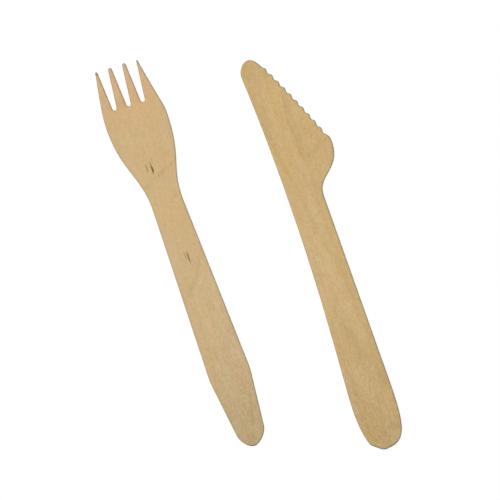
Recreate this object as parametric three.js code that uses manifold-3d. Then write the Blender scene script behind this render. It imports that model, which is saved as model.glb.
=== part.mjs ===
// Disposable cutlery set: a four-tine fork and a serrated knife, each stamped from birch veneer.
// Millimetres, +Z up. Both lie on a table with their handles towards -Y, the fork face up.
import * as THREE from 'three';
import { mergeVertices } from 'three/addons/utils/BufferGeometryUtils.js';
import Module from 'manifold-3d';

// Veneer sheet that both utensils are stamped from
const VENEER_THICKNESS = 1.8;

// Fork: stretches of its length in order, from the end of the handle to the tine tips
const FORK_END_LENGTH = 6.4; // round end
const FORK_GRIP_LENGTH = 23.4; // widening grip
const FORK_SHANK_LENGTH = 72; // long taper to the neck
const FORK_SHOULDER_LENGTH = 35; // neck to the widest line of the head
const FORK_CROWN_LENGTH = 23.85; // widest line of the head to the longest tip

// Fork: widths
const FORK_END_WIDTH = 11.67; // where the round end meets the grip
const FORK_GRIP_WIDTH = 17;
const FORK_NECK_WIDTH = 12.84;
const FORK_HEAD_WIDTH = 25;
const FORK_GRIP_SOFTENING = 2.7; // length of the soft corner on each side of the widest grip
const FORK_END_SET = -0.36; // the lowest place of the end lies this far to one side of the handle's line
const FORK_HEAD_SET = -0.34; // the head sits this far to one side of the handle's line
const FORK_LEFT_LEAN = 12.2; // degrees that the left edge leans in at the tips
const FORK_RIGHT_LEAN = 9.35;

// Fork: tines and the slots punched between them
const TINES = 4;
const TINE_TIP_WIDTH = 1.48; // inner tines
const LEFT_TINE_TIP_WIDTH = 0.84;
const RIGHT_TINE_TIP_WIDTH = 0.54;
const RIGHT_TINE_SHORT = 0.42; // the right tine ends this far below the line of the tips
const TINE_TIP_ROUND = 0.85; // length of the rounded tip
const TIP_SLANT = 1.7; // degrees that the line of the tips falls from left to right
const SLOT_DEPTH = 16.95; // longest tip to the base of the middle slot
const SLOT_MOUTH_WIDTH = 4.36;
const SLOT_BASE_WIDTH = 1.75;
const SLOT_SET = -1.08; // the punch sat this far to one side of the handle's line
const SLOT_TURN = 2.66; // degrees that the punch was turned, with its tips to the right

// Fork: the press lifts the neck and the tips off the table, and the dish touches it
const NECK_LIFT = 1.8;
const TIP_LIFT = 3.2;
const DISH_LENGTH = 28; // neck to the lowest line of the dish

// Knife: stretches of its length, from the end of the handle to the heel of the blade
const KNIFE_END_LENGTH = 17.6; // round end, up to the widest place of the spine side
const KNIFE_HANDLE_LENGTH = 85.6; // that place to the neck
const KNIFE_SHOULDER_LENGTH = 19.1; // neck to the widest line of the blade
const KNIFE_HEEL_LENGTH = 4.3; // widest line to the first tooth
const KNIFE_EDGE_END_LENGTH = 28.5; // round end on the edge side, which runs further up the handle

// Knife: widths
const KNIFE_GRIP_WIDTH = 17.87;
const KNIFE_END_SET = -1.64; // the lowest place of the end lies this far to one side of the handle's middle
const KNIFE_CORNER_INSET = 1.87; // the end has a blunt corner, this far in from the spine side of the grip
const KNIFE_CORNER_RISE = 3.67; // that corner's height above the lowest place of the end
const KNIFE_NECK_WIDTH = 13.9;
const KNIFE_NECK_RISE = 14.1; // the hollow of the spine lies this far past the neck of the edge side
const KNIFE_SPINE_LEAN = 2.9; // degrees that the spine leans out at the tip
const KNIFE_EDGE_LEAN = 0.6; // the handle's edge side stands in by this much at the grip
const KNIFE_HEEL_REACH = 10.4; // how far the heel stands out past the neck
const KNIFE_HEEL_ROUND = 2.1; // how far the heel turns in before the first tooth

// Knife: serrated edge and tip
const TEETH = 10;
const TOOTH_PITCH = 3.57;
const TOOTH_DEPTH = 0.75;
const TOOTH_SHIFT = 0.64; // place of the tooth tip within its pitch, counted from the heel
const EDGE_SLANT = 23.3; // degrees between the serrated edge and the knife's length
const EDGE_BOW = 0.4; // outward bow of the serrated edge
const TIP_WIDTH = 9.13; // end of the teeth to the spine
const TIP_SETBACK = 0.92; // the spine starts to turn this far short of the end of the teeth
const TIP_STEP = 0.12; // the plain tip stands out from the notches by this much

// Layout on the table
const KNIFE_OFFSET = 59.4; // fork's centre line to the edge side of the knife's handle
const KNIFE_SETBACK = 19.1; // how far the end of the knife lies behind the end of the fork

// Fullness of the outline's free curves: share of the span that each curve keeps its first direction
const FORK_END_FULLNESS = { across: 0.418, along: 0.454 };
const FORK_SHOULDER_FULLNESS = { neck: 0.377, leftHead: 0.459, rightHead: 0.536 };
const FORK_CROWN_FULLNESS = { head: 0.136, tip: 0.671 };
const KNIFE_END_FULLNESS = { edgeAcross: 1.026, edgeAlong: 0.797 };
const KNIFE_CORNER_FULLNESS = { side: 0.617, end: 0.78, bend: 0.918 };
const KNIFE_SHOULDER_FULLNESS = { neck: 0.441, heel: 0.623 };
const KNIFE_HEEL_FULLNESS = { out: 0.8, edge: 0.28 };
const KNIFE_SPINE_FULLNESS = { grip: 0.113, neck: 0.541, blade: 0.352 };
const KNIFE_TIP_FULLNESS = { edge: 1.053, spine: 0.372 }; // shares of the tip's width

// Steps that each kind of curve is divided into
const LONG_CURVE_STEPS = 12;
const SHORT_CURVE_STEPS = 8;
const TOOTH_CURVE_STEPS = 3;
const PRESS_STEPS = 24; // along the pressed head, from the neck to the tips

const WELD = 1e-4; // points closer than this are one point

const radians = THREE.MathUtils.degToRad;

function point(x, y) {
  return new THREE.Vector2(x, y);
}

function bezier(start, startPull, endPull, end, steps = LONG_CURVE_STEPS) {
  return new THREE.CubicBezierCurve(start, startPull, endPull, end).getPoints(steps);
}

function corner(start, middle, end, steps = SHORT_CURVE_STEPS) {
  return new THREE.QuadraticBezierCurve(start, middle, end).getPoints(steps);
}

// Chains runs of points into one closed outline and drops the points that they share.
function closedShape(runs) {
  const points = [];
  for (const next of runs.flat()) {
    if (points.length === 0 || next.distanceTo(points.at(-1)) > WELD) points.push(next);
  }
  if (points[0].distanceTo(points.at(-1)) <= WELD) points.pop();
  return new THREE.Shape(points);
}

// Fork

const forkGripY = FORK_END_LENGTH + FORK_GRIP_LENGTH;
const forkNeckY = forkGripY + FORK_SHANK_LENGTH;
const forkHeadY = forkNeckY + FORK_SHOULDER_LENGTH;
const forkTipY = forkHeadY + FORK_CROWN_LENGTH;
const slotBaseRadius = SLOT_BASE_WIDTH / 2;
const slotBaseY = forkTipY - SLOT_DEPTH + slotBaseRadius;
const slotPitch = TINE_TIP_WIDTH + SLOT_MOUTH_WIDTH;

const punchTurn = Math.tan(radians(SLOT_TURN));
const mouthSet = SLOT_SET + punchTurn * (forkTipY - slotBaseY);
const outerSlot = (slotPitch * (TINES - 2)) / 2;
const rightTipX = mouthSet + outerSlot + SLOT_MOUTH_WIDTH / 2 + RIGHT_TINE_TIP_WIDTH;
const leftTipX = mouthSet - outerSlot - SLOT_MOUTH_WIDTH / 2 - LEFT_TINE_TIP_WIDTH;

// A place on the line of the tips, which falls to the right from the longest tip and drops at the right tine.
function tipLine(x) {
  const drop = x > mouthSet + outerSlot ? RIGHT_TINE_SHORT : 0;
  return point(x, forkTipY - Math.tan(radians(TIP_SLANT)) * (x - leftTipX) - drop);
}

// The slots in order from the right: the middle of the base, and both edges of the mouth.
const slots = Array.from({ length: TINES - 1 }, (_, index) => {
  const across = outerSlot - slotPitch * index;
  return {
    base: point(SLOT_SET + across, slotBaseY - punchTurn * across),
    right: tipLine(mouthSet + across + SLOT_MOUTH_WIDTH / 2),
    left: tipLine(mouthSet + across - SLOT_MOUTH_WIDTH / 2),
  };
});

// One side of the fork, from the middle of its end up to the outer tine's tip.
function forkSide(side) {
  const end = point(FORK_END_SET, 0);
  const gripStart = point((side * FORK_END_WIDTH) / 2, FORK_END_LENGTH);
  const grip = point((side * FORK_GRIP_WIDTH) / 2, forkGripY);
  const neck = point((side * FORK_NECK_WIDTH) / 2, forkNeckY);
  const head = point((side * FORK_HEAD_WIDTH) / 2 + FORK_HEAD_SET, forkHeadY);
  const widening = grip.clone().sub(gripStart).normalize();
  const taper = neck.clone().sub(grip).normalize();
  const lean = radians(side > 0 ? FORK_RIGHT_LEAN : FORK_LEFT_LEAN);
  const tipLean = point(-side * Math.sin(lean), Math.cos(lean));
  const tip = tipLine(side > 0 ? rightTipX : leftTipX).addScaledVector(tipLean, -TINE_TIP_ROUND);

  const endPull = point(end.x + gripStart.x * FORK_END_FULLNESS.across, 0);
  const endAlong = FORK_END_LENGTH * FORK_END_FULLNESS.along;
  const gripPull = gripStart.clone().addScaledVector(widening, -endAlong);
  const gripBelow = grip.clone().addScaledVector(widening, -FORK_GRIP_SOFTENING);
  const gripAbove = grip.clone().addScaledVector(taper, FORK_GRIP_SOFTENING);
  const neckPull = FORK_SHOULDER_LENGTH * FORK_SHOULDER_FULLNESS.neck;
  const { leftHead, rightHead } = FORK_SHOULDER_FULLNESS;
  const headPull = FORK_SHOULDER_LENGTH * (side > 0 ? rightHead : leftHead);
  const crownPull = FORK_CROWN_LENGTH * FORK_CROWN_FULLNESS.head;
  const tipPull = FORK_CROWN_LENGTH * FORK_CROWN_FULLNESS.tip;

  return [
    bezier(end, endPull, gripPull, gripStart),
    corner(gripBelow, grip, gripAbove),
    bezier(neck, neck.clone().addScaledVector(taper, neckPull), point(head.x, head.y - headPull), head),
    bezier(head, point(head.x, head.y + crownPull), tip.clone().addScaledVector(tipLean, -tipPull), tip),
  ].flat();
}

// One slot, from the top of its right wall round its base to the top of its left wall.
function slotWalls(slot) {
  const { base, right, left } = slot;
  const rightFoot = point(base.x + slotBaseRadius, base.y);
  const leftFoot = point(base.x - slotBaseRadius, base.y);
  const down = TINE_TIP_ROUND / (forkTipY - base.y);
  const rightTop = right.clone().lerp(rightFoot, down);
  const leftTop = left.clone().lerp(leftFoot, down);
  const arc = new THREE.EllipseCurve(base.x, base.y, slotBaseRadius, slotBaseRadius, 0, Math.PI, true);
  return [rightTop, ...arc.getPoints(SHORT_CURVE_STEPS), leftTop];
}

// Rounded tip between two walls. A cubic curve's crown comes three quarters of the way to its pulls,
// so the pulls stand a third of the rounding past the line of the tips, which the crown then reaches.
function tineTip(from, to) {
  const past = point(0, TINE_TIP_ROUND / 3);
  return bezier(from, tipLine(from.x).add(past), tipLine(to.x).add(past), to, SHORT_CURVE_STEPS);
}

function forkShape() {
  const rightSide = forkSide(1);
  const leftSide = forkSide(-1).reverse();
  const walls = [...slots.map(slotWalls), leftSide];
  const runs = [rightSide];
  for (const next of walls) {
    runs.push(tineTip(runs.at(-1).at(-1), next[0]), next);
  }
  return closedShape(runs);
}

// Height of the fork's underside above the table at a place along its length.
function pressLift(y) {
  const dishY = forkNeckY + DISH_LENGTH;
  if (y < forkNeckY) return (NECK_LIFT * y) / forkNeckY;
  if (y < dishY) {
    const t = (y - forkNeckY) / DISH_LENGTH;
    const start = 2 * t ** 3 - 3 * t ** 2 + 1;
    const startSlope = t ** 3 - 2 * t ** 2 + t;
    return NECK_LIFT * (start + (startSlope * DISH_LENGTH) / forkNeckY);
  }
  return TIP_LIFT * ((y - dishY) / (forkTipY - dishY)) ** 2;
}

// Knife

const knifeNeckY = KNIFE_END_LENGTH + KNIFE_HANDLE_LENGTH;
const knifeHeelY = knifeNeckY + KNIFE_SHOULDER_LENGTH;
const edgeStart = point(KNIFE_HEEL_REACH - KNIFE_HEEL_ROUND, knifeHeelY + KNIFE_HEEL_LENGTH);
const edgeAlong = point(-Math.sin(radians(EDGE_SLANT)), Math.cos(radians(EDGE_SLANT)));
const edgeOut = point(edgeAlong.y, -edgeAlong.x);
const edgeLength = TEETH * TOOTH_PITCH;

// A place on the serrated edge: run counts from the heel, height stands out from the notches.
// The bow is a parabola over the edge, with its full height in the middle.
function onEdge(run, height) {
  const share = run / edgeLength;
  const bow = 4 * EDGE_BOW * share * (1 - share);
  return edgeStart.clone().addScaledVector(edgeAlong, run).addScaledVector(edgeOut, height + bow);
}

// Rounded saw teeth: curves turn about the tips and the notches, from the middle of one flank to the next.
// Such a curve comes half way to its corner, so the corners lie half a tooth beyond the edge's own line.
function toothRow() {
  const runs = [];
  const middle = TOOTH_DEPTH / 2;
  const peak = TOOTH_DEPTH + middle;
  const valley = -middle;
  const tipRun = TOOTH_SHIFT * TOOTH_PITCH;
  for (let tooth = 0; tooth < TEETH; tooth += 1) {
    const notch = tooth * TOOTH_PITCH;
    const tip = notch + tipRun;
    const nextNotch = notch + TOOTH_PITCH;
    const rise = onEdge((notch + tip) / 2, middle);
    const fall = onEdge((tip + nextNotch) / 2, middle);
    runs.push(corner(rise, onEdge(tip, peak), fall, TOOTH_CURVE_STEPS));
    if (tooth < TEETH - 1) {
      const nextRise = onEdge(nextNotch + tipRun / 2, middle);
      runs.push(corner(fall, onEdge(nextNotch, valley), nextRise, TOOTH_CURVE_STEPS));
    }
  }
  return runs.flat();
}

function knifeShape() {
  const endLowest = point(-KNIFE_EDGE_LEAN - KNIFE_GRIP_WIDTH / 2 + KNIFE_END_SET, 0);
  const gripEdge = point(-KNIFE_EDGE_LEAN, KNIFE_EDGE_END_LENGTH);
  const gripSpine = point(-KNIFE_EDGE_LEAN - KNIFE_GRIP_WIDTH, KNIFE_END_LENGTH);
  const endCorner = point(gripSpine.x + KNIFE_CORNER_INSET, KNIFE_CORNER_RISE);
  const neckEdge = point(0, knifeNeckY);
  const neckSpine = point(-KNIFE_NECK_WIDTH, knifeNeckY + KNIFE_NECK_RISE);
  const heel = point(KNIFE_HEEL_REACH, knifeHeelY);
  const teethEnd = onEdge(edgeLength, TIP_STEP);
  const tipSpine = point(teethEnd.x - TIP_WIDTH, teethEnd.y - TIP_SETBACK);

  const halfGrip = KNIFE_GRIP_WIDTH / 2;
  const end = KNIFE_END_FULLNESS;
  const turn = KNIFE_CORNER_FULLNESS;
  const sideBend = point(gripSpine.x, THREE.MathUtils.lerp(gripSpine.y, endCorner.y, turn.side));
  const endBend = point(THREE.MathUtils.lerp(endCorner.x, endLowest.x, turn.end), 0);
  const spine = KNIFE_SPINE_FULLNESS;
  const bladePull = (tipSpine.y - neckSpine.y) * spine.blade;
  const handleSpine = neckSpine.y - gripSpine.y;
  const tipSway = bladePull * Math.tan(radians(KNIFE_SPINE_LEAN));
  const tipPull = point(tipSpine.x + tipSway, tipSpine.y - bladePull);
  const shoulder = KNIFE_SHOULDER_FULLNESS;
  const heelRound = KNIFE_HEEL_FULLNESS;
  const tip = KNIFE_TIP_FULLNESS;

  return closedShape([
    bezier(
      endLowest,
      point(endLowest.x + halfGrip * end.edgeAcross, 0),
      point(gripEdge.x, gripEdge.y - KNIFE_EDGE_END_LENGTH * end.edgeAlong),
      gripEdge,
    ),
    bezier(
      neckEdge,
      point(0, neckEdge.y + KNIFE_SHOULDER_LENGTH * shoulder.neck),
      point(heel.x, heel.y - KNIFE_SHOULDER_LENGTH * shoulder.heel),
      heel,
    ),
    bezier(
      heel,
      point(heel.x, heel.y + KNIFE_HEEL_LENGTH * heelRound.out),
      edgeStart.clone().addScaledVector(edgeAlong, -KNIFE_HEEL_LENGTH * heelRound.edge),
      edgeStart,
      SHORT_CURVE_STEPS,
    ),
    toothRow(),
    bezier(
      teethEnd,
      teethEnd.clone().addScaledVector(edgeAlong, TIP_WIDTH * tip.edge),
      point(tipSpine.x, tipSpine.y + TIP_WIDTH * tip.spine),
      tipSpine,
    ),
    bezier(tipSpine, tipPull, point(neckSpine.x, neckSpine.y + bladePull), neckSpine),
    bezier(
      neckSpine,
      point(neckSpine.x, neckSpine.y - handleSpine * spine.neck),
      point(gripSpine.x, gripSpine.y + handleSpine * spine.grip),
      gripSpine,
    ),
    corner(gripSpine, sideBend, endCorner),
    bezier(
      endCorner,
      endCorner.clone().lerp(endBend, turn.bend),
      endLowest.clone().lerp(endBend, turn.bend),
      endLowest,
      SHORT_CURVE_STEPS,
    ),
  ]);
}

// Stamping and pressing

const wasm = await Module();
wasm.setup();

function solid(geometry) {
  geometry.deleteAttribute('normal');
  geometry.deleteAttribute('uv');
  const welded = mergeVertices(geometry, WELD);
  const vertProperties = Float32Array.from(welded.getAttribute('position').array);
  const triVerts = Uint32Array.from(welded.getIndex().array);
  return new wasm.Manifold(new wasm.Mesh({ numProp: 3, vertProperties, triVerts }));
}

function surface(body) {
  const { vertProperties, triVerts } = body.getMesh();
  const geometry = new THREE.BufferGeometry();
  geometry.setAttribute('position', new THREE.BufferAttribute(vertProperties, 3));
  geometry.setIndex(new THREE.BufferAttribute(triVerts, 1));
  return geometry;
}

// A column with the outline's shape.
function stamp(shape, height) {
  return new THREE.ExtrudeGeometry(shape, { depth: height, bevelEnabled: false });
}

// The veneer in its pressed form, a curved strip that reaches past the fork on every side.
function pressedSheet() {
  const margin = FORK_HEAD_WIDTH;
  const stations = [-margin, 0];
  for (let step = 0; step <= PRESS_STEPS; step += 1) {
    stations.push(THREE.MathUtils.lerp(forkNeckY, forkTipY, step / PRESS_STEPS));
  }
  stations.push(forkTipY + margin);
  const underside = stations.map((y) => point(y, pressLift(y)));
  const face = underside.map((place) => point(place.x, place.y + VENEER_THICKNESS)).reverse();
  const width = 2 * FORK_HEAD_WIDTH;
  const sheet = stamp(closedShape([underside, face]), width);
  const alongX = new THREE.Vector3(1, 0, 0);
  const alongY = new THREE.Vector3(0, 1, 0);
  const alongZ = new THREE.Vector3(0, 0, 1);
  sheet.applyMatrix4(new THREE.Matrix4().makeBasis(alongY, alongZ, alongX));
  sheet.translate(-width / 2, 0, 0);
  return sheet;
}

// The fork is what its outline cuts from the pressed sheet.
function pressedFork() {
  const stroke = NECK_LIFT + TIP_LIFT + 3 * VENEER_THICKNESS;
  const cutter = stamp(forkShape(), stroke).translate(0, 0, -VENEER_THICKNESS);
  return surface(solid(cutter).intersect(solid(pressedSheet())));
}

function flatKnife() {
  return surface(solid(stamp(knifeShape(), VENEER_THICKNESS)));
}

function utensil(name, geometry, color) {
  geometry.computeVertexNormals();
  const birch = new THREE.MeshStandardMaterial({ color, roughness: 0.7, metalness: 0 });
  const mesh = new THREE.Mesh(geometry, birch);
  mesh.name = name;
  return mesh;
}

// Layout: the set's origin is the middle of its footprint, on the table

const fork = utensil('fork', pressedFork(), 0xcbaf82);
const knife = utensil('knife', flatKnife(), 0xc9ab7a);
knife.position.set(KNIFE_OFFSET, -KNIFE_SETBACK, 0);

const set = new THREE.Group();
set.add(fork, knife);
set.updateMatrixWorld(true);
const footprint = new THREE.Box3().setFromObject(set, true);
const middle = footprint.getCenter(new THREE.Vector3());
set.position.set(-middle.x, -middle.y, -footprint.min.z);

export default set;
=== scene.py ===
import math

import bpy
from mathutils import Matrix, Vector
from mathutils.geometry import interpolate_bezier


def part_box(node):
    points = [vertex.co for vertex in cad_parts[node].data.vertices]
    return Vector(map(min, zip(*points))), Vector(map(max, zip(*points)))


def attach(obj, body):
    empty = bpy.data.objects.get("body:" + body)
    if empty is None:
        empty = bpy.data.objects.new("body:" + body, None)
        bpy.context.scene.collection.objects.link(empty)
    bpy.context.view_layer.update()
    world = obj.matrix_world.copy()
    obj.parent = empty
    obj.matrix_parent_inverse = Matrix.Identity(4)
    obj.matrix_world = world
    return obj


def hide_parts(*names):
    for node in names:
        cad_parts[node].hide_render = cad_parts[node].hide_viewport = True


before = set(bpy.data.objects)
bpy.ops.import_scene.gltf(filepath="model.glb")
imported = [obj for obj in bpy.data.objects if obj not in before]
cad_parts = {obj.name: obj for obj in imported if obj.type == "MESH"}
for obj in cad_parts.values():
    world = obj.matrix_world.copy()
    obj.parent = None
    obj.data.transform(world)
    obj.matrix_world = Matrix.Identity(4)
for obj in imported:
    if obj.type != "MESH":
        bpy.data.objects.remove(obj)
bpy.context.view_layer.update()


# Fork
# One piece of birch veneer, stamped to its outline and pressed warm so that the head is dished.
# The stamped blank is tumbled before pressing, which rounds its edges and leaves the wood bare and satin.

MM = 0.001
FORK_EDGE_ROUND = 0.75 * MM  # radius of the tumbled edges
FORK_PRESS_START = 30 * MM  # the handle is straight up to here
FORK_PRESS_ROW = 1.8 * MM  # length of each row of faces in the pressed head
FORK_STRAW = (0.624, 0.463, 0.243, 1.0)
FORK_HONEY = (0.534, 0.373, 0.169, 1.0)
FORK_BANDING = 0.55  # strength of the light and dark bands
FORK_RIPPLE = ((-65.0, 1.10), (15.0, 0.52))  # (mm along, strength): the fine grain fades towards the head
FORK_LOG_PLACE = (0.0, 0.0, 40.0)  # where in the log this sheet was peeled, in mm
EDGE_ROUND_STEPS = 4  # faces across the quarter round of a rim
SHARPEST_SMOOTH_EDGE = math.radians(40)
BROAD_FACE = 0.7  # the normal of a broad face points up or down by more than this
WALL_FACE = 0.3  # the normal of a cut wall points up by less than this


def select_only(piece):
    """Makes one piece the active object, with nothing else selected."""
    bpy.ops.object.select_all(action="DESELECT")
    piece.select_set(True)
    bpy.context.view_layer.objects.active = piece


def edit_whole(piece):
    """Goes into edit mode with all of one piece selected and nothing else."""
    select_only(piece)
    bpy.ops.object.mode_set(mode="EDIT")
    bpy.ops.mesh.select_all(action="SELECT")


def copied_solid(node, name):
    """A copy of a stamped solid, with its loose triangles welded."""
    weld = 0.02 * MM
    copy = bpy.data.objects.new(name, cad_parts[node].data.copy())
    bpy.context.scene.collection.objects.link(copy)
    copy.data.materials.clear()
    edit_whole(copy)
    bpy.ops.mesh.remove_doubles(threshold=weld)
    bpy.ops.object.mode_set(mode="OBJECT")
    return copy


def underside_profile(piece):
    """Heights of the underside along the length, as a sorted list of (y, z)."""
    heights = {}
    for face in piece.data.polygons:
        if face.normal.z < -BROAD_FACE:
            for index in face.vertices:
                place = piece.data.vertices[index].co
                heights[place.y] = place.z
    return sorted(heights.items())


def height_on(profile, y):
    """Height of a profile at one place along the length."""
    if y <= profile[0][0]:
        return profile[0][1]
    for (y0, z0), (y1, z1) in zip(profile, profile[1:]):
        if y <= y1:
            return z0 + (z1 - z0) * (y - y0) / (y1 - y0)
    return profile[-1][1]


def around(loop):
    """Each point of a closed loop, between the one before it and the one after it."""
    return zip(loop[-1:] + loop[:-1], loop, loop[1:] + loop[:1])


def rounded_corner(before, here, after):
    """Points round one corner of an outline, on a curve that leaves and joins the two sides smoothly."""
    shortest = 0.12 * MM
    sharpest_turn = math.radians(6)
    to_handle = 1 / 3  # makes the curve a parabola that touches both sides
    arm = min((before - here).length, (after - here).length) / 2
    start = here + (before - here).normalized() * arm
    end = here + (after - here).normalized() * arm
    turn = (here - before).angle(after - here)
    steps = math.ceil(min(turn / sharpest_turn, 2 * arm / shortest))
    return interpolate_bezier(start, here.lerp(start, to_handle), here.lerp(end, to_handle), end, steps + 1)


def upper_outline(piece):
    """Outline of a flat blank, as flat points in order round its upper face, anticlockwise."""
    on_line = 0.002 * MM
    closest = 0.05 * MM
    longest = 1.6 * MM
    mesh = piece.data
    steepness = {}
    for face in mesh.polygons:
        for key in face.edge_keys:
            steepness.setdefault(key, []).append(face.normal.z)
    beside = {}
    for (first, second), both in steepness.items():
        if max(both) > BROAD_FACE and min(both) < WALL_FACE:
            beside.setdefault(first, []).append(second)
            beside.setdefault(second, []).append(first)
    order = [min(beside)]
    order.append(beside[order[0]][0])
    while len(order) < len(beside):
        forward = [index for index in beside[order[-1]] if index != order[-2]]
        order.append(forward[0])
    points = [mesh.vertices[index].co.xy for index in order]
    if sum(here.cross(after) for _, here, after in around(points)) < 0:
        points.reverse()

    kept = []
    for _, here, after in around(points):
        before = kept[-1] if kept else points[-1]
        off_line = abs((after - before).cross(here - before)) / (after - before).length
        if off_line > on_line and (here - before).length > closest:
            kept.append(here)
    rounded = []
    for before, here, after in around(kept):
        rounded.extend(rounded_corner(before, here, after))
    divided = []
    for _, here, after in around(rounded):
        if (after - here).length > closest:
            steps = math.ceil((after - here).length / longest)
            divided.extend(here.lerp(after, step / steps) for step in range(steps))
    return divided


def rounding_rooms(outline, inward, radius):
    """Radius that the rim can be rounded to at each point. The largest circle that touches the rim there and
    stays inside the outline gives the room, so slim tips and teeth get a smaller radius, in a gradual way."""
    least_depth = 0.001 * MM
    most_of_room = 0.8
    steepest_change = 0.4
    rooms = []
    for here, into in zip(outline, inward):
        room = radius
        for other in outline:
            depth = (other - here).dot(into)
            if depth > least_depth:
                room = min(room, most_of_room * (other - here).length_squared / (2 * depth))
        rooms.append(room)
    count = len(outline)
    for way in (range(2 * count), reversed(range(2 * count))):
        last = None
        for index in (place % count for place in way):
            if last is not None:
                step = (outline[index] - outline[last]).length
                rooms[index] = min(rooms[index], rooms[last] + steepest_change * step)
            last = index
    return rooms


def tumble(piece, radius):
    """Makes a flat blank anew with its rims rounded, as rings of faces from its lower to its upper face."""
    sharpest_miter = 0.7  # keeps the inset short at a sharp corner
    outline = upper_outline(piece)
    thickness = max(vertex.co.z for vertex in piece.data.vertices)
    inward = []
    miters = []
    for before, here, after in around(outline):
        along = (here - before).normalized()
        onward = (after - here).normalized()
        into = (along + onward).normalized().orthogonal()
        inward.append(into)
        miters.append(1 / max(into.dot(along.orthogonal()), sharpest_miter))
    rooms = rounding_rooms(outline, inward, radius)

    quarter = [math.pi / 2 * step / EDGE_ROUND_STEPS for step in range(EDGE_ROUND_STEPS + 1)]
    rings = [(1 - math.cos(turn), 1 - math.sin(turn), 0.0) for turn in reversed(quarter)]
    rings += [(1 - math.cos(turn), math.sin(turn) - 1, thickness) for turn in quarter]
    places = []
    for inset, rise, level in rings:
        for here, into, miter, room in zip(outline, inward, miters, rooms):
            place = here + into * (miter * inset * room)
            places.append((place.x, place.y, level + rise * room))
    count = len(outline)
    faces = [tuple(reversed(range(count)))]
    for ring in range(len(rings) - 1):
        low = ring * count
        for index in range(count):
            beyond = (index + 1) % count
            faces.append((low + index, low + beyond, low + count + beyond, low + count + index))
    faces.append(tuple(range((len(rings) - 1) * count, len(rings) * count)))
    piece.data.clear_geometry()
    piece.data.from_pydata(places, [], faces)
    piece.data.update()


def press(piece, profile, start, end, row):
    """Divides a flat blank into rows along its length and lifts it to a profile."""
    edit_whole(piece)
    for index in range(round((end - start) / row)):
        bpy.ops.mesh.select_all(action="SELECT")
        bpy.ops.mesh.bisect(plane_co=(0.0, start + index * row, 0.0), plane_no=(0.0, 1.0, 0.0))
    bpy.ops.object.mode_set(mode="OBJECT")
    for vertex in piece.data.vertices:
        vertex.co.z += height_on(profile, vertex.co.y)


def shade(piece):
    """Smooth shading that leaves the broad faces flat."""
    select_only(piece)
    bpy.ops.object.shade_smooth_by_angle(angle=SHARPEST_SMOOTH_EDGE)
    weighted = piece.modifiers.new("broad_faces", "WEIGHTED_NORMAL")
    weighted.keep_sharp = True
    bpy.ops.object.modifier_apply(modifier=weighted.name)


def shader_node(tree, kind, inputs, **settings):
    """Adds a node, sets its settings and gives each named input a value or a link."""
    made = tree.nodes.new(kind)
    for name, value in settings.items():
        setattr(made, name, value)
    for name, value in inputs.items():
        if isinstance(value, bpy.types.NodeSocket):
            tree.links.new(value, made.inputs[name])
        else:
            made.inputs[name].default_value = value
    return made


def math_node(tree, operation, *values):
    """Result of one operation on one or two values."""
    return shader_node(tree, "ShaderNodeMath", dict(enumerate(values)), operation=operation).outputs[0]


def vector_node(tree, operation, first, second):
    """Result of one operation on two vectors."""
    return shader_node(tree, "ShaderNodeVectorMath", {0: first, 1: second}, operation=operation).outputs[0]


def noise(tree, vector, scales, detail=2.0, roughness=0.5):
    """Noise with a cell of 1/scales mm along each axis."""
    inputs = {
        "Vector": vector_node(tree, "MULTIPLY", vector, scales),
        "Scale": 1.0,
        "Detail": detail,
        "Roughness": roughness,
    }
    return shader_node(tree, "ShaderNodeTexNoise", inputs, noise_dimensions="3D").outputs["Fac"]


def eased(tree, value, low, high, start=0.0, end=1.0):
    """Goes softly from start to end as the value goes from low to high."""
    inputs = {"Value": value, "From Min": low, "From Max": high, "To Min": start, "To Max": end}
    return shader_node(tree, "ShaderNodeMapRange", inputs, interpolation_type="SMOOTHSTEP").outputs["Result"]


def swing(tree, value, amount):
    """A noise value turned into a swing about zero."""
    noise_middle = 0.5
    return math_node(tree, "MULTIPLY", math_node(tree, "SUBTRACT", value, noise_middle), amount)


def mixed(tree, factor, first, second, how="MIX"):
    """One colour laid over another."""
    inputs = {0: factor, 6: first, 7: second}
    return shader_node(tree, "ShaderNodeMix", inputs, data_type="RGBA", blend_type=how).outputs[2]


def new_group(name, inputs, outputs):
    """An empty shader group with named sockets. Returns the tree, its input sockets and its end node."""
    tree = bpy.data.node_groups.new(name, "ShaderNodeTree")
    for socket, kind in inputs.items():
        tree.interface.new_socket(socket, in_out="INPUT", socket_type="NodeSocket" + kind)
    for socket, kind in outputs.items():
        tree.interface.new_socket(socket, in_out="OUTPUT", socket_type="NodeSocket" + kind)
    return tree, tree.nodes.new("NodeGroupInput").outputs, tree.nodes.new("NodeGroupOutput")


def use_group(tree, group, inputs):
    """Output sockets of a shader group that is put to use."""
    return shader_node(tree, "ShaderNodeGroup", inputs, node_tree=group).outputs


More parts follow.
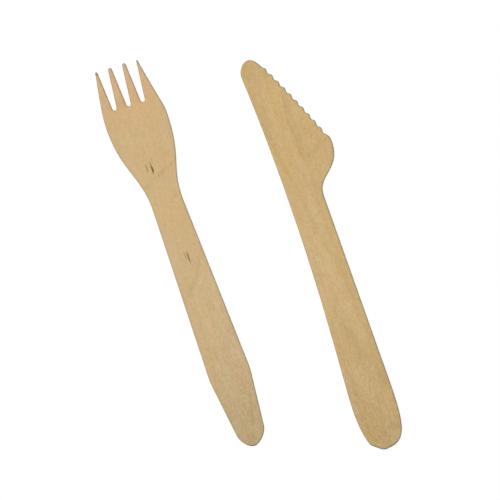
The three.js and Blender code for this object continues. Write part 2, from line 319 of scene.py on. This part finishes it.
def birch_group():
    """Rotary-peeled birch: wandering bands, faint ring lines, fibres and fine pores, all along Y in mm."""
    wander_reach = 9.0  # mm that the grain wanders from side to side
    ring_count = 9.0
    ring_line = 0.2  # share of each ring that its line fades over
    ring_depth = 0.15
    fibre_swing = 1.2
    ripple_swing = 0.9
    mottle_swing = 1.0
    speckle_swing = 2.3
    middle_tone = 0.5
    patch_start = 0.3
    patch_full = 0.7
    patch_strength = 0.7
    warm_tint = (1.01, 1.0, 0.88, 1.0)
    blush_tint = (1.05, 0.965, 1.0, 1.0)
    pore_start = 0.66
    pore_full = 0.76
    pore_strength = 0.22
    pore_tint = (0.62, 0.52, 0.40, 1.0)
    pore_depth = 0.8
    middle_roughness = 0.62
    roughness_swing = 0.25

    tree, given, end = new_group(
        "birch_veneer",
        {"Vector": "Vector", "Straw": "Color", "Honey": "Color", "Banding": "Float", "Ripple": "Float"},
        {"Color": "Color", "Roughness": "Float", "Height": "Float"},
    )
    place = given["Vector"]
    wander = swing(tree, noise(tree, place, (0.03, 0.012, 0.03), detail=1.0), wander_reach)
    shift = shader_node(tree, "ShaderNodeCombineXYZ", {"X": wander}).outputs[0]
    grain = vector_node(tree, "ADD", place, shift)

    bands = noise(tree, grain, (0.26, 0.010, 0.26))
    fibres = noise(tree, grain, (2.4, 0.06, 2.4), detail=3.0, roughness=0.6)
    ripples = noise(tree, grain, (0.9, 0.32, 0.9), detail=1.0)
    mottle = noise(tree, place, (0.14, 0.07, 0.14), roughness=0.55)
    speckle = noise(tree, place, (1.8, 0.9, 1.8), detail=1.0, roughness=0.6)
    warmth = noise(tree, place, (0.20, 0.05, 0.20), detail=1.0)
    blush = noise(tree, place, (0.34, 0.17, 0.34))
    years = math_node(tree, "MULTIPLY", noise(tree, grain, (0.05, 0.010, 0.1), detail=1.0), ring_count)
    ring_lines = eased(tree, math_node(tree, "FRACT", years), 0.0, ring_line, 1.0, 0.0)
    pores = eased(tree, noise(tree, grain, (4.2, 0.4, 4.2), detail=0.0), pore_start, pore_full)

    fine = swing(tree, fibres, fibre_swing)
    for layer, amount in ((ripples, ripple_swing), (mottle, mottle_swing), (speckle, speckle_swing)):
        fine = math_node(tree, "ADD", fine, swing(tree, layer, amount))
    tone = math_node(tree, "ADD", middle_tone, swing(tree, bands, given["Banding"]))
    tone = math_node(tree, "ADD", tone, math_node(tree, "MULTIPLY", fine, given["Ripple"]))
    tone = math_node(tree, "SUBTRACT", tone, math_node(tree, "MULTIPLY", ring_lines, ring_depth))
    wood = mixed(tree, tone, given["Honey"], given["Straw"])
    for patches, tint in ((warmth, warm_tint), (blush, blush_tint)):
        strength = eased(tree, patches, patch_start, patch_full, 0.0, patch_strength)
        wood = mixed(tree, strength, wood, tint, "MULTIPLY")
    wood = mixed(tree, math_node(tree, "MULTIPLY", pores, pore_strength), wood, pore_tint, "MULTIPLY")

    rough = math_node(tree, "ADD", middle_roughness, swing(tree, fibres, roughness_swing))
    height = math_node(tree, "SUBTRACT", fibres, math_node(tree, "MULTIPLY", pores, pore_depth))
    tree.links.new(wood, end.inputs["Color"])
    tree.links.new(rough, end.inputs["Roughness"])
    tree.links.new(height, end.inputs["Height"])
    return tree


MARK_SHAPE = ("X", "Y", "Length", "Width", "Lean", "Bend")


def fleck_group():
    """Mask of one spindle-shaped mark in the grain, with a ragged outline. Places and sizes are in mm.
    Its middle line runs through (X, Y), leans by Lean across for each mm along, and curves by Bend."""
    solid_core = 0.3
    faded_rim = 1.1
    either_way = 2.0  # turns a noise value into a swing of one to either side
    sockets = {"Vector": "Vector", **{size: "Float" for size in (*MARK_SHAPE, "Ragged")}}
    tree, given, end = new_group("grain_fleck", sockets, {"Mask": "Float"})
    axes = shader_node(tree, "ShaderNodeSeparateXYZ", {0: given["Vector"]}).outputs
    along = math_node(tree, "SUBTRACT", axes["Y"], given["Y"])
    across = math_node(tree, "SUBTRACT", axes["X"], given["X"])
    across = math_node(tree, "SUBTRACT", across, math_node(tree, "MULTIPLY", along, given["Lean"]))
    curve = math_node(tree, "MULTIPLY", math_node(tree, "MULTIPLY", along, along), given["Bend"])
    across = math_node(tree, "SUBTRACT", across, curve)
    ragged = swing(tree, noise(tree, given["Vector"], (1.2, 0.6, 1.0)), either_way)
    across = math_node(tree, "ADD", across, math_node(tree, "MULTIPLY", ragged, given["Ragged"]))
    squares = []
    for distance, size in ((along, given["Length"]), (across, given["Width"])):
        share = math_node(tree, "DIVIDE", math_node(tree, "MULTIPLY", distance, 2.0), size)
        squares.append(math_node(tree, "MULTIPLY", share, share))
    reach = math_node(tree, "SQRT", math_node(tree, "ADD", *squares))
    tree.links.new(eased(tree, reach, solid_core, faded_rim, 1.0, 0.0), end.inputs["Mask"])
    return tree


def wall_group():
    """Colour of the rounded rims and cut walls. The shoulder of a rim has painted shade, darker and greyer
    than the wall below it, where its rounding turns from the light. A wall across the grain is darkest: end
    grain is a little darker in itself, and the rest is painted shade."""
    face_tilt = 0.995
    full_shade_tilt = 0.87
    shoulder_tilt = 0.75
    wall_tilt = 0.25
    # painted shade on the rims: their shoulders are darkened and greyed, and the cut walls below them less so
    wall_shade_share = 0.3
    rim_shade_tint = (0.84, 0.94, 1.09, 1.0)
    along_grain = 0.35
    across_grain = 0.9
    # walls across the grain: end grain is a little darker in itself, and the rest of this darkening is
    # painted shade
    end_wall_shade_tint = (0.68, 0.70, 0.73, 1.0)

    tree, given, end = new_group("cut_wall", {"Color": "Color", "Normal": "Vector"}, {"Color": "Color"})
    facing = shader_node(tree, "ShaderNodeSeparateXYZ", {0: given["Normal"]}).outputs
    tilt = math_node(tree, "ABSOLUTE", facing["Z"])
    # painted shade on the shoulder of each rim, with less of it on the wall below
    off_face = eased(tree, tilt, face_tilt, full_shade_tilt)
    above_wall = eased(tree, tilt, wall_tilt, shoulder_tilt, wall_shade_share, 1.0)
    shoulder = math_node(tree, "MULTIPLY", off_face, above_wall)
    rim_shaded = mixed(tree, shoulder, given["Color"], rim_shade_tint, "MULTIPLY")
    # end walls: a little darker end grain, and painted shade
    end_wall_and_shade = eased(tree, math_node(tree, "ABSOLUTE", facing["Y"]), along_grain, across_grain)
    cut = mixed(tree, end_wall_and_shade, rim_shaded, end_wall_shade_tint, "MULTIPLY")
    tree.links.new(cut, end.inputs["Color"])
    return tree


BIRCH = birch_group()
FLECK = fleck_group()
WALL = wall_group()


def marked(tree, colour, in_mm, marks, how):
    """Lays marks over a colour. Each is (colour, strength, x, y, length, width, lean, bend), in mm."""
    raggedness = 0.25
    most_ragged_width = 1.0
    for mark_colour, strength, *sizes in marks:
        shape = dict(zip(MARK_SHAPE, sizes))
        ragged = min(shape["Width"], most_ragged_width) * raggedness
        mask = use_group(tree, FLECK, {"Vector": in_mm, **shape, "Ragged": ragged})["Mask"]
        colour = mixed(tree, math_node(tree, "MULTIPLY", mask, strength), colour, mark_colour, how)
    return colour


def birch_material(name, straw, honey, banding, ripple, log_place, tints, flecks):
    """Bare birch for one utensil. Its ripple fades between two (place along, strength) pairs."""
    relief_strength = 0.35
    relief_depth = 0.04 * MM
    satin_specular = 0.3
    material = bpy.data.materials.new(name)
    material.use_nodes = True
    tree = material.node_tree
    shader = tree.nodes["Principled BSDF"]
    coordinates = shader_node(tree, "ShaderNodeTexCoord", {}).outputs
    in_mm = vector_node(tree, "MULTIPLY", coordinates["Object"], (1 / MM, 1 / MM, 1 / MM))
    along = shader_node(tree, "ShaderNodeSeparateXYZ", {0: in_mm}).outputs["Y"]
    (start, strength), (end, faded) = ripple
    wood = use_group(tree, BIRCH, {
        "Vector": vector_node(tree, "ADD", in_mm, log_place),
        "Straw": straw,
        "Honey": honey,
        "Banding": banding,
        "Ripple": eased(tree, along, start, end, strength, faded),
    })

    colour = marked(tree, wood["Color"], in_mm, tints, "MULTIPLY")
    colour = marked(tree, colour, in_mm, flecks, "MIX")
    colour = use_group(tree, WALL, {"Color": colour, "Normal": coordinates["Normal"]})["Color"]

    relief = shader_node(tree, "ShaderNodeBump", {
        "Height": wood["Height"],
        "Strength": relief_strength,
        "Distance": relief_depth,
    })
    tree.links.new(colour, shader.inputs["Base Color"])
    tree.links.new(wood["Roughness"], shader.inputs["Roughness"])
    tree.links.new(relief.outputs["Normal"], shader.inputs["Normal"])
    shader.inputs["Specular IOR Level"].default_value = satin_specular
    return material


DARK_TINT = (0.78, 0.74, 0.68, 1.0)
PALE_TINT = (1.17, 1.21, 1.37, 1.0)
WARM_TINT = (1.25, 1.08, 1.18, 1.0)
# painted shade that darkens the handles towards their ends
HANDLE_END_SHADE_TINT = (0.83, 0.89, 1.00, 1.0)
COOL_TINT = (1.00, 1.06, 1.24, 1.0)
FORK_TINTS = (
    # cool handle whose end is darkened with painted shade, warm tines, and a head that is palest above its
    # middle
    (COOL_TINT, 0.40, -28.5, -25.0, 110.0, 60.0, 0.0, 0.0),
    (HANDLE_END_SHADE_TINT, 0.50, -28.5, -68.0, 60.0, 44.0, 0.0, 0.0),
    (WARM_TINT, 0.52, -28.0, 86.0, 46.0, 44.0, 0.0, 0.0),
    (DARK_TINT, 0.07, -28.5, 46.0, 70.0, 60.0, 0.0, 0.0),
    (PALE_TINT, 0.20, -29.0, 63.0, 22.0, 22.0, 0.0, 0.0),
    (DARK_TINT, 0.12, -27.0, 52.0, 12.0, 18.0, 0.0, 0.0),
    (PALE_TINT, 0.10, -28.5, 32.0, 18.0, 16.0, 0.0, 0.0),
    (PALE_TINT, 0.10, -28.5, -13.0, 24.0, 20.0, 0.0, 0.0),
    # darker lines across the roots of the tines and the neck
    (DARK_TINT, 0.18, -31.5, 74.8, 5.0, 22.0, 0.0, 0.0),
    (DARK_TINT, 0.24, -25.4, 44.4, 7.0, 5.6, 2.1, 0.0),
    (DARK_TINT, 0.24, -33.4, 40.3, 2.2, 6.5, 0.0, 0.0),
    (DARK_TINT, 0.30, -26.1, 43.7, 3.4, 2.0, 0.2, 0.0),
    # a bowed line across the handle with paler wood beside it, and one that slants to the darker end
    (DARK_TINT, 0.28, -27.1, 1.6, 25.0, 2.2, 0.70, -0.018),
    (PALE_TINT, 0.10, -24.6, 1.0, 24.0, 4.0, 0.735, 0.0),
    (DARK_TINT, 0.24, -24.4, -54.0, 32.0, 1.8, 0.31, 0.0),
    (DARK_TINT, 0.22, -28.5, -67.5, 6.0, 4.5, 0.0, 0.0),
)
FLECK_BROWN = (0.145, 0.066, 0.004, 1.0)
FLECK_UMBER = (0.210, 0.115, 0.025, 1.0)
FLECK_TAN = (0.300, 0.178, 0.055, 1.0)
# greys the tips of the tines, and is painted shade along the ends of the handles
GREY_TIPS_AND_END_SHADE = (0.270, 0.230, 0.160, 1.0)
TIP_PALE = (0.470, 0.395, 0.250, 1.0)
FORK_FLECKS = (
    # grey and pale tips of the tines, and painted shade along the end of the handle
    (GREY_TIPS_AND_END_SHADE, 0.90, -37.5, 89.7, 4.0, 2.4, 0.0, 0.0),
    (TIP_PALE, 0.50, -31.9, 89.8, 4.6, 3.4, 0.0, 0.0),
    (TIP_PALE, 0.50, -26.1, 89.6, 4.6, 3.4, 0.0, 0.0),
    (GREY_TIPS_AND_END_SHADE, 0.55, -20.6, 88.6, 4.6, 2.0, 0.0, 0.0),
    (GREY_TIPS_AND_END_SHADE, 0.95, -28.6, -71.0, 1.7, 5.4, 0.0, 0.0),
    # brown flecks in the head
    (FLECK_TAN, 0.75, -29.40, 48.4, 3.2, 0.70, 0.0, 0.0),
    (FLECK_BROWN, 1.00, -29.45, 46.2, 4.8, 1.15, 0.06, -0.04),
    (FLECK_TAN, 0.85, -31.45, 47.3, 4.4, 0.80, -0.03, -0.06),
    (FLECK_TAN, 0.45, -28.60, 49.9, 2.6, 0.55, -0.1, 0.0),
    (FLECK_TAN, 0.45, -27.90, 43.4, 3.6, 0.65, 0.0, 0.0),
    # thin brown lines in the handle
    (FLECK_UMBER, 0.95, -27.95, 8.6, 6.6, 0.78, 0.0, 0.0),
    (FLECK_TAN, 0.60, -29.00, 9.8, 4.6, 0.60, 0.0, 0.0),
    (FLECK_TAN, 0.30, -29.60, 7.4, 2.2, 0.55, 0.3, 0.0),
)

fork = copied_solid("fork", "birch_fork")
fork_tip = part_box("fork")[1].y
fork_press = underside_profile(fork)
for vertex in fork.data.vertices:
    vertex.co.z -= height_on(fork_press, vertex.co.y)
tumble(fork, FORK_EDGE_ROUND)
press(fork, fork_press, FORK_PRESS_START, fork_tip, FORK_PRESS_ROW)
shade(fork)
fork_birch = birch_material(
    "fork_birch_bare",
    straw=FORK_STRAW,
    honey=FORK_HONEY,
    banding=FORK_BANDING,
    ripple=FORK_RIPPLE,
    log_place=FORK_LOG_PLACE,
    tints=FORK_TINTS,
    flecks=FORK_FLECKS,
)
fork.data.materials.append(fork_birch)
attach(fork, "root")
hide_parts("fork")


# Knife
# One flat piece of birch veneer, stamped to its outline together with its row of rounded saw teeth.
# It is tumbled like the fork and isn't pressed, so both faces stay flat.

KNIFE_EDGE_ROUND = 0.75 * MM
KNIFE_STRAW = (0.626, 0.455, 0.217, 1.0)
KNIFE_HONEY = (0.536, 0.365, 0.149, 1.0)
KNIFE_BANDING = 1.7
KNIFE_RIPPLE = ((-90.0, 1.30), (-45.0, 0.80))  # the fine grain fades away from the end of the handle
KNIFE_LOG_PLACE = (120.0, 35.0, 10.0)
KNIFE_TINTS = (
    # cool handle whose end is darkened with painted shade, and a darker blade and tip
    (COOL_TINT, 0.20, 22.0, -30.0, 130.0, 60.0, 0.0, 0.0),
    (PALE_TINT, 0.09, 22.0, -20.0, 84.0, 60.0, 0.0, 0.0),
    (HANDLE_END_SHADE_TINT, 0.20, 22.0, -92.0, 50.0, 44.0, 0.0, 0.0),
    (DARK_TINT, 0.10, 24.0, 30.0, 56.0, 60.0, 0.0, 0.0),
    (DARK_TINT, 0.40, 21.0, 76.0, 26.0, 30.0, 0.0, 0.0),
    # figure of the blade: a curved line that turns to the heel, a dark spine and paler wood beside them
    (DARK_TINT, 0.35, 27.6, 45.0, 34.0, 1.4, 0.0, 0.0128),
    (DARK_TINT, 0.16, 35.0, 32.4, 7.0, 7.0, 2.2, 0.0),
    (DARK_TINT, 0.30, 18.3, 42.0, 64.0, 3.2, -0.085, 0.0023),
    (DARK_TINT, 0.16, 20.2, 31.0, 14.0, 2.6, -0.1, 0.0),
    (PALE_TINT, 0.15, 31.5, 35.0, 12.0, 6.0, 0.0, 0.0),
    (PALE_TINT, 0.14, 23.2, 21.0, 14.0, 5.0, 0.0, 0.0),
    (PALE_TINT, 0.18, 22.5, 30.0, 50.0, 3.4, 0.0, 0.0),
    (PALE_TINT, 0.18, 23.6, 48.0, 34.0, 5.5, 0.0, 0.0),
    # darker, warmer heel
    (DARK_TINT, 0.22, 38.5, 29.0, 16.0, 8.0, 0.0, 0.0),
    (WARM_TINT, 0.12, 38.5, 31.6, 12.0, 7.0, 0.0, 0.0),
    # dark and pale streaks that cross the handle at a slant, and a pale one along its edge below the heel
    (DARK_TINT, 0.20, 24.3, -1.0, 50.0, 3.0, -0.16, 0.0),
    (PALE_TINT, 0.24, 20.9, -8.0, 32.0, 5.5, -0.1, 0.0),
    (PALE_TINT, 0.22, 29.4, -14.0, 84.0, 3.4, 0.0, 0.0),
    (DARK_TINT, 0.18, 20.8, -40.0, 46.0, 3.2, -0.258, 0.0059),
    (DARK_TINT, 0.16, 25.5, -52.0, 16.0, 9.0, -0.2, 0.0),
    # bands and patches at the end of the handle
    (DARK_TINT, 0.24, 17.0, -66.0, 28.0, 4.0, -0.13, 0.0),
    (PALE_TINT, 0.42, 21.3, -63.0, 26.0, 5.2, -0.1, 0.0),
    (DARK_TINT, 0.26, 27.3, -63.5, 12.0, 4.0, 0.0, 0.0),
    (PALE_TINT, 0.50, 26.9, -70.5, 7.0, 2.2, 0.0, 0.0),
    (DARK_TINT, 0.42, 25.6, -82.2, 4.5, 7.0, 0.0, 0.0),
    (PALE_TINT, 0.45, 13.3, -80.6, 10.0, 1.8, -0.17, 0.0),
    (PALE_TINT, 0.35, 24.2, -87.3, 3.6, 1.2, 1.5, 0.0),
)
FLECK_ORANGE = (0.690, 0.365, 0.120, 1.0)
KNIFE_FLECKS = (
    # painted shade along the end of the handle, a short line in the blade and two orange marks in the handle
    (GREY_TIPS_AND_END_SHADE, 0.30, 24.3, -88.7, 3.0, 2.4, 2.1, 0.0),
    (FLECK_TAN, 0.40, 31.0, 30.1, 2.4, 0.60, 0.0, 0.0),
    (FLECK_ORANGE, 0.75, 28.4, -23.4, 2.6, 1.70, 0.0, 0.0),
    (FLECK_ORANGE, 0.60, 15.3, -55.4, 3.4, 1.50, 0.0, 0.0),
)

knife = copied_solid("knife", "birch_knife")
tumble(knife, KNIFE_EDGE_ROUND)
shade(knife)
knife_birch = birch_material(
    "knife_birch_bare",
    straw=KNIFE_STRAW,
    honey=KNIFE_HONEY,
    banding=KNIFE_BANDING,
    ripple=KNIFE_RIPPLE,
    log_place=KNIFE_LOG_PLACE,
    tints=KNIFE_TINTS,
    flecks=KNIFE_FLECKS,
)
knife.data.materials.append(knife_birch)
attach(knife, "root")
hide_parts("knife")


# Table
# A plain white studio table that the set lies on. It is painted flat, and shows the set's faint shadow.
# To the eye it glows almost white, and the light that it throws back at the set is that of a pale grey.

TABLE_SIDE = 6.0
TABLE_DROP = 0.02 * MM  # the table lies this far under the set, so that the faces don't share a plane
TABLE_GLOW = 0.92
TABLE_SHADE = 0.11  # how much of the light that falls on the table is seen, and so how deep the shadow is
TABLE_BOUNCE = 0.8
WHITE = (1.0, 1.0, 1.0, 1.0)


def grey(level):
    """A neutral colour."""
    return (level, level, level, 1.0)


def seen_rays(tree):
    """One for rays that show a surface to the eye, straight, mirrored or through a clear body, else zero."""
    rays = shader_node(tree, "ShaderNodeLightPath", {}).outputs
    seen = math_node(tree, "MAXIMUM", rays["Is Camera Ray"], rays["Is Glossy Ray"])
    return math_node(tree, "MAXIMUM", seen, rays["Is Transmission Ray"])


bpy.ops.object.select_all(action="DESELECT")
bpy.ops.mesh.primitive_plane_add(size=TABLE_SIDE, location=(0.0, 0.0, -TABLE_DROP))
table = bpy.context.active_object
table.name = "table"
bpy.ops.object.transform_apply(location=True, rotation=True, scale=True)
paint = bpy.data.materials.new("table_white")
paint.use_nodes = True
tree = paint.node_tree
tree.nodes.clear()
bounce = shader_node(tree, "ShaderNodeBsdfDiffuse", {"Color": grey(TABLE_BOUNCE)}).outputs[0]
shadowed = shader_node(tree, "ShaderNodeBsdfDiffuse", {"Color": grey(TABLE_SHADE)}).outputs[0]
glow = shader_node(tree, "ShaderNodeEmission", {"Color": WHITE, "Strength": TABLE_GLOW}).outputs[0]
shown = shader_node(tree, "ShaderNodeAddShader", {0: shadowed, 1: glow}).outputs[0]
surface = shader_node(tree, "ShaderNodeMixShader", {0: seen_rays(tree), 1: bounce, 2: shown}).outputs[0]
shader_node(tree, "ShaderNodeOutputMaterial", {"Surface": surface})
table.data.materials.append(paint)


# Light and camera
# A soft box close above the set, a weaker one to the upper left of the picture and a white room around them.
# The camera looks straight down, with the set turned in its picture.

PICTURE_TURN = math.radians(-20)  # the set lies turned in the picture
PICTURE_CENTRE = Vector((-4.07 * MM, 2.941 * MM, 1.8 * MM))
PICTURE_SIDE = 198.4 * MM
LENS = 200.0
SENSOR = 36.0
ROOM_LEVEL = 0.25
SOFT_BOXES = {
    # name: (place, side, power), in metres and watts
    "soft_box_above": (Vector((-0.01, 0.025, 0.28)), 0.2, 0.46),
    "soft_box_side": (Vector((-0.45, 0.75, 0.55)), 0.3, 4.4),
}

room = bpy.data.worlds.new("white_room")
bpy.context.scene.world = room
room.use_nodes = True
tree = room.node_tree
tree.nodes.clear()
level = eased(tree, seen_rays(tree), 0.0, 1.0, ROOM_LEVEL, 1.0)
white = shader_node(tree, "ShaderNodeBackground", {"Color": WHITE, "Strength": level}).outputs[0]
shader_node(tree, "ShaderNodeOutputWorld", {"Surface": white})

for name, (place, side, power) in SOFT_BOXES.items():
    lamp = bpy.data.lights.new(name, "AREA")
    lamp.energy = power
    lamp.size = side
    soft_box = bpy.data.objects.new(name, lamp)
    bpy.context.scene.collection.objects.link(soft_box)
    soft_box.location = place
    soft_box.rotation_euler = (PICTURE_CENTRE - place).to_track_quat("-Z", "Y").to_euler()
    soft_box.visible_camera = False

camera_data = bpy.data.cameras.new("camera_above")
camera_data.lens = LENS
camera_data.sensor_width = SENSOR
camera = bpy.data.objects.new("camera_above", camera_data)
bpy.context.scene.collection.objects.link(camera)
camera.location = PICTURE_CENTRE + Vector((0.0, 0.0, PICTURE_SIDE * LENS / SENSOR))
camera.rotation_euler = (0.0, 0.0, PICTURE_TURN)
bpy.context.scene.camera = camera
bpy.context.scene.view_settings.view_transform = "Standard"
